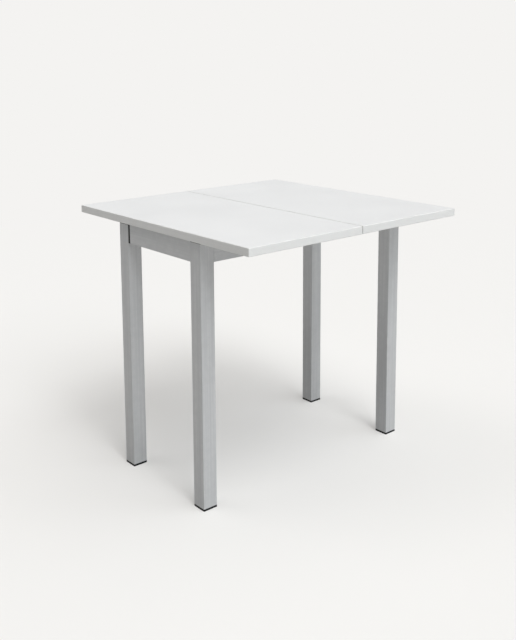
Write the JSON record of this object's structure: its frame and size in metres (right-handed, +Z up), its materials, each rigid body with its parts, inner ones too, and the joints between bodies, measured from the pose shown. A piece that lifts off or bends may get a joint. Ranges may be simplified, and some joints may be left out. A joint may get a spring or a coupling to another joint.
{
  "type": "flip-top table",
  "caption": "Square flip-top kitchen table: the hinged top folds in half and swivels a quarter turn over a narrow square-tube base.",
  "frame": {"origin": "on the floor under the middle of the open top", "axes": "+Z up; +X along the long side of the base, from the main leaf to the folding leaf; +Y along the seam, towards the back"},
  "size_m": [0.8, 0.8, 0.765],
  "materials": {
    "white_board": "fine-textured white melamine on particle board",
    "white_edging": "satin white edge strip",
    "frame_paint": "satin aluminium-grey powder coat",
    "black_plastic": "moulded black plastic",
    "nylon": "natural nylon",
    "plated_steel": "bright zinc plate",
    "rubber": "matt black rubber"
  },
  "bodies": {
    "base": {"leg_front_left": "frame_paint", "leg_front_right": "frame_paint", "leg_back_left": "frame_paint", "leg_back_right": "frame_paint", "foot_front_left": "black_plastic", "foot_front_right": "black_plastic", "foot_back_left": "black_plastic", "foot_back_right": "black_plastic", "leg_top_caps": "black_plastic", "long_rail_front": "frame_paint", "long_rail_back": "frame_paint", "short_rail_left": "frame_paint", "short_rail_right": "frame_paint", "rail_spacer_left": "black_plastic", "rail_spacer_right": "black_plastic", "rail_end_blocks": "plated_steel", "frame_bolts": "plated_steel", "glide_pads": "nylon", "pivot_crossbar": "frame_paint", "crossbar_bracket_front": "plated_steel", "crossbar_bracket_back": "plated_steel", "bracket_screws": "plated_steel", "pivot_bush": "nylon"},
    "swivel_top": {"main_leaf": "white_board", "main_leaf_edging": "white_edging", "swivel_disc": "plated_steel", "disc_screws": "plated_steel", "pivot_bolt": "plated_steel", "pivot_washer": "plated_steel", "pivot_nut": "plated_steel", "stop_peg": "plated_steel", "stop_sleeve": "rubber", "hinge_barrels_main": "plated_steel"},
    "flip_leaf": {"folding_leaf": "white_board", "folding_leaf_edging": "white_edging", "hinge_barrels_folding": "plated_steel"},
    "links_main": {"hinge_links_main": "plated_steel"},
    "links_folding": {"hinge_links_folding": "plated_steel"}
  },
  "joints": [
    {"name": "top_swivel", "type": "hinge", "parent": "base", "child": "swivel_top", "pos_m": [-0.10025, 0.10025, 0.739], "axis": [0, 0, 1], "range_deg": [0, 90]},
    {"name": "leaf_fold", "type": "hinge", "parent": "swivel_top", "child": "flip_leaf", "pos_m": [0, 0, 0.76525], "axis": [0, -1, 0], "range_deg": [0, 180]},
    {"name": "hinge_link_main", "type": "hinge", "parent": "swivel_top", "child": "links_main", "pos_m": [0, 0, 0.76525], "axis": [0, -1, 0], "range_deg": [0, 60]},
    {"name": "hinge_link_folding", "type": "hinge", "parent": "swivel_top", "child": "links_folding", "pos_m": [0, 0, 0.76525], "axis": [0, -1, 0], "range_deg": [0, 120]}
  ],
  "couplings": [
    {"joint": "hinge_link_main", "follows": "leaf_fold", "ratio": 0.33333},
    {"joint": "hinge_link_folding", "follows": "leaf_fold", "ratio": 0.66667}
  ]
}
